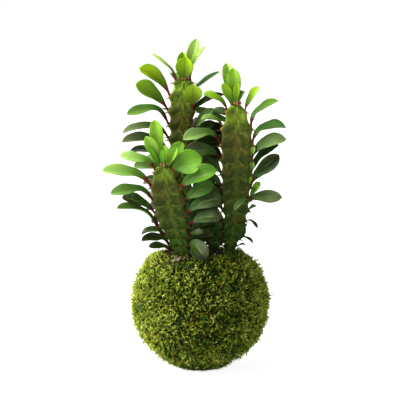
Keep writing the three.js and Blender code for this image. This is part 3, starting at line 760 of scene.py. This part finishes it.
def build_thread():
    """Closed turns of two-ply thread, whose two lobes wind along it."""
    plies = round(2 * pi * THREAD_COURSE / THREAD_PITCH)
    turns = []
    for i in range(THREAD_TURNS):
        start_piece()
        bpy.ops.mesh.primitive_torus_add(major_radius=THREAD_COURSE * MM, minor_radius=THREAD_RADIUS * MM,
                                         major_segments=420, minor_segments=8)
        loop = bpy.context.object
        points = points_of(loop)
        turn = np.arctan2(points[:, 1], points[:, 0])
        round_it = np.arctan2(points[:, 2], np.hypot(points[:, 0], points[:, 1]) - THREAD_COURSE)
        lobes = np.cos(2 * round_it - plies / 2 * turn)
        reach = THREAD_RADIUS * (1 - PLY_DEPTH + PLY_DEPTH * lobes)
        out = THREAD_COURSE + reach * np.cos(round_it)
        points = np.stack([out * np.cos(turn), out * np.sin(turn), reach * np.sin(round_it)], 1)
        points = swung(tipped(points, THREAD_TILT), THREAD_START + 360 * i / THREAD_TURNS)
        place_points(loop, points + (0, 0, BALL_RISE))
        turns.append(loop)
    twine = joined(turns)
    twine.name = twine.data.name = "thread_winding"
    finish_piece(smooth(twine), cotton_thread(), "thread", "binding_thread")


# Soil

def soil_height(x, y):
    return SOIL_PEAK + (SOIL_EDGE - SOIL_PEAK) * np.hypot(x, y) / SOIL_RADIUS


def lump_blank(detail):
    """An uneven pebble of radius 1."""
    start_piece()
    bpy.ops.mesh.primitive_ico_sphere_add(subdivisions=detail, radius=MM)
    lump = bpy.context.object
    points = points_of(lump)
    uneven = 1 + LUMP_UNEVENNESS * clumps(points * 10, 9, 3)
    place_points(lump, points * uneven[:, None])
    return lump


def turned(shape, count, first):
    """Copies of a shape, each turned its own way."""
    up = unit(centred_draws(count, first))
    side = unit(np.cross(up, centred_draws(count, first + 3)))
    return shape[None] @ np.stack([side, np.cross(up, side), up], 1)


def build_lumps(name, detail, places, sizes, first, material):
    """Copies of a pebble of those sizes at those places."""
    blank = lump_blank(detail)
    copies = turned(points_of(blank), len(sizes), first) * sizes[:, None, None] + places[:, None]
    finish_piece(smooth(gather(name, blank, copies, {})), material, "soil")
    bpy.data.objects.remove(blank)


def build_soil():
    soil = potting_soil()
    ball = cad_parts["soil_ball"]
    ball.data.materials.clear()
    ball.data.materials.append(soil)
    turn = 2 * pi * draws(CRUMBS, 20)
    reach = SOIL_RADIUS * np.sqrt(draws(CRUMBS, 21))
    x, y = reach * np.cos(turn), reach * np.sin(turn)
    smallest, largest = CRUMB_RADIUS
    size = smallest + (largest - smallest) * draws(CRUMBS, 22) ** 2
    places = np.stack([x, y, soil_height(x, y) + CRUMB_LIFT * size], 1)
    build_lumps("soil_crumbs", 1, places, size, 23, soil)
    x, y, radius = np.array(GRIT).T
    mat_height = BALL_RISE + np.sqrt(MAT_RADIUS ** 2 - x ** 2 - y ** 2)
    ground = np.where(np.hypot(x, y) < CROWN_RADIUS, soil_height(x, y), mat_height)
    places = np.stack([x, y, ground + radius * (1 - GRAIN_SINK)], 1)
    build_lumps("grit_grains", 2, places, radius * GRAIN_GROWTH, 30, volcanic_grit())


# Stems

def axis_at(stem, z):
    rows = stem["axis"]
    x = smooth_at([(r[2], r[0]) for r in rows], z)
    y = smooth_at([(r[2], r[1]) for r in rows], z)
    return np.stack([x, y, z + 0 * x], -1)


def shield_heights(count, first, last, shrink):
    """Heights of the spine shields, whose spacing shrinks evenly towards the stem's foot."""
    gaps = count - 1
    widest = 2 * (first - last) / (gaps * (1 + shrink))
    spacing = widest * (1 + (shrink - 1) * np.arange(gaps) / (gaps - 1))
    return first - np.concatenate([[0], np.cumsum(spacing)])


def outward(angle, reach):
    """A level vector of that reach, at an angle in degrees from +X."""
    turn = np.radians(angle)
    return np.stack([np.cos(turn) * reach, np.sin(turn) * reach, 0 * turn * reach], -1)


def rib_point(stem, rib, z, sink):
    reach = smooth_at(stem["radius"], z) - sink
    return axis_at(stem, z) + outward(RIB_ANGLES[rib], reach)


def tiers(z, shields):
    """How many shields down from the top one each height lies. It is below 0 over the top one."""
    count = np.arange(len(shields))
    below = np.interp(-z, -shields, count, left=-0.45, right=len(shields) - 0.5)
    return np.where(z > shields[0], -(z - shields[0]) / (shields[0] - shields[1]), below)


def build_stem(name, stem, skin):
    """A sphere drawn out into a three-ribbed stem, with a tooth at each shield."""
    start_piece()
    bpy.ops.mesh.primitive_uv_sphere_add(segments=STEM_SIDES, ring_count=STEM_RINGS, radius=MM)
    body = bpy.context.object
    body.name = body.data.name = "stem_" + name
    ball = points_of(body)
    share = np.arccos(np.clip(ball[:, 2], -1, 1)) / pi
    angle = np.degrees(np.arctan2(ball[:, 1], ball[:, 0]))
    pole = np.hypot(ball[:, 0], ball[:, 1]) < 1e-4
    foot, top = stem["axis"][0][2], stem["radius"][-1][0]
    z = top + (foot - top) * np.clip((share - 1 / STEM_RINGS) / (1 - 2 / STEM_RINGS), 0, 1)
    shields = shield_heights(**stem["shields"])
    tier = tiers(z, shields)
    from_rib = np.abs((angle - RIB_ANGLES["back"] + 60) % 120 - 60)
    face = from_rib / 60  # 0 at a rib's edge, 1 at the middle of a face
    arc = 1 - (2 * (tier - np.floor(tier)) - 1) ** 2
    bare = fade(SPINE_FLOOR - 8, SPINE_FLOOR + 4, z)  # 0 in the soil and moss
    radius = smooth_at(stem["radius"], z)
    dip = stem["dip"] * arc * np.exp(-face * 3.2) * bare * np.where(z > shields[0], CREST_DIP, 1)
    swell = np.cos(2 * pi * (tier + FACE_DROP * face)) * fade(0.0, 0.35, face) * fade(1.05, 0.7, face)
    rough = SKIN_RELIEF * clumps(outward(angle, radius) + np.outer(z, (0, 0, 1)), 5, 4)
    reach = radius * smooth_at(RIB_SECTION, from_rib) - dip + (SWELL_HEIGHT * swell + rough) * bare
    points = axis_at(stem, z) + outward(angle, np.where(pole, 0, reach))
    points[:, 2] += np.where(pole & (share < 0.5), CREST_DOME, 0)
    place_points(body, points)
    set_fact(body.data, "rise", (z - SPINE_FLOOR) / (top - SPINE_FLOOR))
    set_fact(body.data, "face", face)
    set_fact(body.data, "tier", tier + FACE_DROP * face + 4)
    finish_piece(smooth(body), skin, "plant", "leafy_stem_" + name)


def spine_blank():
    start_piece()
    bpy.ops.mesh.primitive_cone_add(vertices=6, radius1=SPINE_RADIUS * MM, radius2=0,
                                    depth=(SPINE_LENGTH + SPINE_SINK) * MM)
    return bpy.context.object


def build_spines(name, stem, blank, material):
    """A pair of spines at every shield of every rib."""
    shape = points_of(blank)
    shape[:, 2] += (SPINE_LENGTH + SPINE_SINK) / 2
    height = np.clip(shape[:, 2] / (SPINE_LENGTH + SPINE_SINK), 0, 1)
    shields = shield_heights(**stem["shields"])
    copies = []
    for z in shields[shields >= SPINE_FLOOR]:
        for rib, angle in RIB_ANGLES.items():
            for sign in (-1, 1):
                way = outward(angle + sign * SPINE_SPREAD, cos(radians(SPINE_DROOP)))
                way[2] = -sin(radians(SPINE_DROOP))
                side = unit(np.cross(way, (0, 0, 1)))
                turn = np.stack([side, np.cross(way, side), way])
                copies.append(shape @ turn + rib_point(stem, rib, z - SPINE_DROP, SPINE_SINK))
    spines = gather("spines_" + name, blank, np.array(copies), {"height": np.tile(height, len(copies))})
    finish_piece(smooth(spines), material, "plant", "leafy_stem_" + name)


def build_buds(name, stem, material):
    """Stipule scales in a ring round the growing point."""
    blank = lump_blank(2)
    top = stem["radius"][-1][0]
    turn = 360 * (np.arange(BUDS) + 0.5 * draws(BUDS, 60)) / BUDS
    places = axis_at(stem, np.full(BUDS, top)) + outward(turn, BUD_RING + 1.2 * draws(BUDS, 61))
    places[:, 2] += 0.4 + 1.2 * draws(BUDS, 62)
    size = np.stack([0.9 + 0.5 * draws(BUDS, 63)] * 2 + [1.3 + 0.8 * draws(BUDS, 64)], 1)
    copies = points_of(blank)[None] * size[:, None] + places[:, None]
    buds = gather("buds_" + name, blank, copies, {})
    bpy.data.objects.remove(blank)
    finish_piece(smooth(buds), material, "plant", "leafy_stem_" + name)


# Leaves

def leaf_blank():
    """A flat leaf of full length 1: a ring drawn along it and resized to its outline at each station."""
    start_piece()
    bpy.ops.mesh.primitive_circle_add(vertices=LEAF_SIDES, radius=MM, fill_type="NGON",
                                      rotation=(pi / 2, 0, 0))
    leaf = bpy.context.object
    bpy.ops.object.transform_apply(location=False)
    bpy.ops.object.mode_set(mode="EDIT")
    shares = np.linspace(0, 1, LEAF_STATIONS)
    wide = smooth_at(LEAF_OUTLINE, shares) * LEAF_WIDTH / 2
    into_blade = fade(PETIOLE_SHARE * 0.8, 0.42, shares)
    thick = PETIOLE_RADIUS + (BLADE_THICKNESS / 2 - PETIOLE_RADIUS) * into_blade
    thick *= fade(1.06, 0.8, shares)
    bpy.ops.transform.resize(value=(wide[0], 1, thick[0]))
    for i in range(1, LEAF_STATIONS):
        step = (shares[i] - shares[i - 1]) * MM
        bpy.ops.mesh.extrude_region_move(TRANSFORM_OT_translate={"value": (0, step, 0)})
        bpy.ops.transform.resize(value=(wide[i] / wide[i - 1], 1, thick[i] / thick[i - 1]))
    bpy.ops.mesh.select_all(action="SELECT")
    bpy.ops.mesh.normals_make_consistent(inside=False)
    bpy.ops.object.mode_set(mode="OBJECT")
    return leaf


def leaf_path(reach, rise, arch, bend):
    """A midrib that bends most at that share: even shares, its slope, reach and rise there, its length."""
    share = np.linspace(0, 1, PATH_STEPS)
    slope = -2 * radians(arch) * fade(bend - BEND_REACH, bend + BEND_REACH, share)
    ways = np.stack([np.cos(slope), np.sin(slope)], 1) / (PATH_STEPS - 1)
    places = np.concatenate([[[0, 0]], np.cumsum((ways[1:] + ways[:-1]) / 2, axis=0)])
    tip = places[-1]
    turn = atan2(rise, reach) - atan2(tip[1], tip[0])
    length = hypot(reach, rise) / hypot(*tip)
    level = places[:, 0] * cos(turn) - places[:, 1] * sin(turn)
    height = places[:, 0] * sin(turn) + places[:, 1] * cos(turn)
    return share, slope + turn, level * length, height * length, length


def leaf_copy(shape, root, row, age, dice):
    """A copy of the blank, resized and laid along its path, folded at its midrib and waved."""
    across, rise, depth, width, turn, arch = row
    fold_draw, wave_draw, phase, curl_draw, wide_draw, twist_draw, sway_draw = dice
    flat = hypot(across, depth)
    heading = np.array([across / flat, depth / flat, 0])
    up = np.array([0, 0, 1])
    drawn_out = fade(*LONG_REACH, hypot(flat, rise))
    bend = BEND_SHARE + LONG_BEND * drawn_out + ARCHED_BEND * fade(*ARCHED, arch)
    shares, slopes, levels, heights, length = leaf_path(flat, rise, arch, bend)

    # Where the midrib runs
    blade = fade(PETIOLE_SHARE, 0.45, shape[:, 1])
    share = np.maximum(shape[:, 1], 0) ** (1 - 0.52 * drawn_out)
    sunk = PETIOLE_SUNK * fade(12, 17, width) * fade(56, 62, turn) * fade(28, 20, rise)
    share = share + 0.07 * (wide_draw - 0.6) * np.sin(pi * share) - sunk * (1 - share)
    slope = np.interp(share, shares, slopes)[:, None]
    way = heading * np.cos(slope) + up * np.sin(slope)
    centre = root + heading * np.interp(share, shares, levels)[:, None]
    centre += up * np.interp(share, shares, heights)[:, None]
    centre += way * (length * np.minimum(share, 0))[:, None]

    # Which way the blade faces
    facing = np.array([0, -sin(radians(turn)), cos(radians(turn))])
    flat_side = unit(np.cross(way, facing))
    flat_face = np.cross(flat_side, way)
    twist = radians(LEAF_TWIST) * (twist_draw - 0.5) * fade(75, 50, turn) * fade(0.2, 1, share)[:, None]
    side = flat_side * np.cos(twist) + flat_face * np.sin(twist)
    face = np.cross(side, way)
    sway = LEAF_SWAY * length * (sway_draw - 0.5) * fade(85, 60, turn)
    centre += flat_side * (sway * np.sin(pi * np.clip(share, 0, 1)))[:, None]

    # Its section
    stout = 1 + ((hypot(flat, rise) / USUAL_REACH) ** PETIOLE_GROWTH - 1) * (1 - blade)
    stout *= 1 - ROOT_TAPER * drawn_out * fade(0.07, 0.0, shape[:, 1])
    x = shape[:, 0] * (1 + (width / LEAF_WIDTH - 1) * blade) * stout
    thick = shape[:, 2] * stout
    from_rib = np.minimum(np.abs(x) / (width / 2), 1)
    relief = blade * min(width / LEAF_WIDTH, 1)
    groove = np.exp(-(from_rib * 9) ** 2) * relief * np.where(thick > 0, -0.3, -0.45)
    fold = radians(BLADE_FOLD) * blade * (0.7 + 1.3 * fold_draw ** 2)
    ripple = np.sin(2 * pi * (2.1 * share + phase) + np.sign(x) * 1.2)
    wave = (0.25 + 0.6 * wave_draw) * ripple * from_rib ** 2 * relief
    cup = 0.6 * from_rib ** 2 * relief
    curl = -3.4 * curl_draw * (0.3 + age) * fade(0.62, 1.1, share) ** 2
    lift = np.abs(x) * np.sin(fold) + thick + groove + wave + cup + curl
    return centre + side * (x * np.cos(fold))[:, None] + face * lift[:, None]


def build_leaves(name, stem, blank, blade):
    shape = points_of(blank)
    shields = shield_heights(**stem["shields"])
    grown = []  # root, row, age and painted sheen
    for rib, rows in stem["leaves"].items():
        for shield, *row, age, painted_sheen in rows:
            root = rib_point(stem, rib, shields[shield] + LEAF_LIFT, LEAF_SINK)
            grown.append((root, row, age, painted_sheen))
    crest = axis_at(stem, stem["radius"][-1][0] - TUFT_SINK)
    for *row, age, painted_sheen in stem["tuft"]:
        level = np.array([row[0], row[2], 0]) / hypot(row[0], row[2])
        grown.append((crest + level * TUFT_SPREAD, row, age, painted_sheen))
    dice = np.stack([draws(len(grown), 40 + k + ord(name[0])) for k in range(7)], 1)
    copies = [leaf_copy(shape, root, row, age, rolled) for (root, row, age, _), rolled in zip(grown, dice)]
    size = len(shape)
    half = np.maximum(smooth_at(LEAF_OUTLINE, shape[:, 1]) * LEAF_WIDTH / 2, 0.1)
    facts = {
        "age": np.repeat([leaf[2] for leaf in grown], size),
        "painted_sheen": np.repeat([leaf[3] for leaf in grown], size),
        "seed": np.repeat(np.clip(stem["gold"] + 0.5 * (dice[:, 4] - 0.5), 0, 1), size),
        "along": np.tile(shape[:, 1], len(grown)),
        "across": np.tile(np.abs(shape[:, 0]) / half, len(grown)),
    }
    leaves = gather("leaves_" + name, blank, np.array(copies), facts)
    finish_piece(smooth(leaves), blade, "plant", "leafy_stem_" + name)


def build_plants():
    skin, blade, horn, scale = succulent_skin(), waxy_leaf(), horny_spine(), stipule_bud()
    leaf, spine = leaf_blank(), spine_blank()
    for name, stem in STEMS.items():
        build_stem(name, stem, skin)
        build_leaves(name, stem, leaf, blade)
        build_spines(name, stem, spine, horn)
        build_buds(name, stem, scale)
    bpy.data.objects.remove(leaf)
    bpy.data.objects.remove(spine)


# Studio

def add_light(name, towards, width, power, colour):
    start_piece()
    bpy.ops.object.light_add(type="SUN")
    light = bpy.context.object
    light.name = name
    light.data.angle = radians(width)
    light.data.energy = power
    light.data.color = colour
    light.rotation_euler = Vector(towards).to_track_quat("-Z", "Y").to_euler()


def add_floor():
    start_piece()
    bpy.ops.mesh.primitive_circle_add(vertices=96, radius=FLOOR_RADIUS * MM, fill_type="NGON")
    floor = bpy.context.object
    floor.name = floor.data.name = "studio_floor"
    material, tree = new_material("light_table")
    surface = tree.nodes["Principled BSDF"].inputs
    surface["Base Color"].default_value = linear("#8c8c8a")
    surface["Roughness"].default_value = 0.9
    surface["Specular IOR Level"].default_value = 0.0
    surface["Emission Color"].default_value = (1, 1, 1, 1)
    surface["Emission Strength"].default_value = FLOOR_GLOW
    floor.data.materials.append(material)


def build_studio():
    add_floor()
    world = bpy.data.worlds.new("studio")
    world.use_nodes = True
    room = world.node_tree
    rays = add(room, "ShaderNodeLightPath")
    lit = add(room, "ShaderNodeMapRange", {0: rays.outputs["Is Glossy Ray"], 3: ROOM_LIGHT, 4: ROOM_GLOSS})
    seen = add(room, "ShaderNodeMapRange", {0: rays.outputs["Is Camera Ray"], 3: lit.outputs[0], 4: 1.0})
    room.nodes["Background"].inputs["Color"].default_value = (1, 1, 1, 1)
    room.links.new(seen.outputs[0], room.nodes["Background"].inputs["Strength"])
    bpy.context.scene.world = world
    for name, light in LIGHTS.items():
        add_light(name, *light)
    bpy.context.scene.view_settings.view_transform = "Standard"


add_camera()
build_mat()
build_shoots()
build_thread()
build_soil()
build_plants()
build_studio()
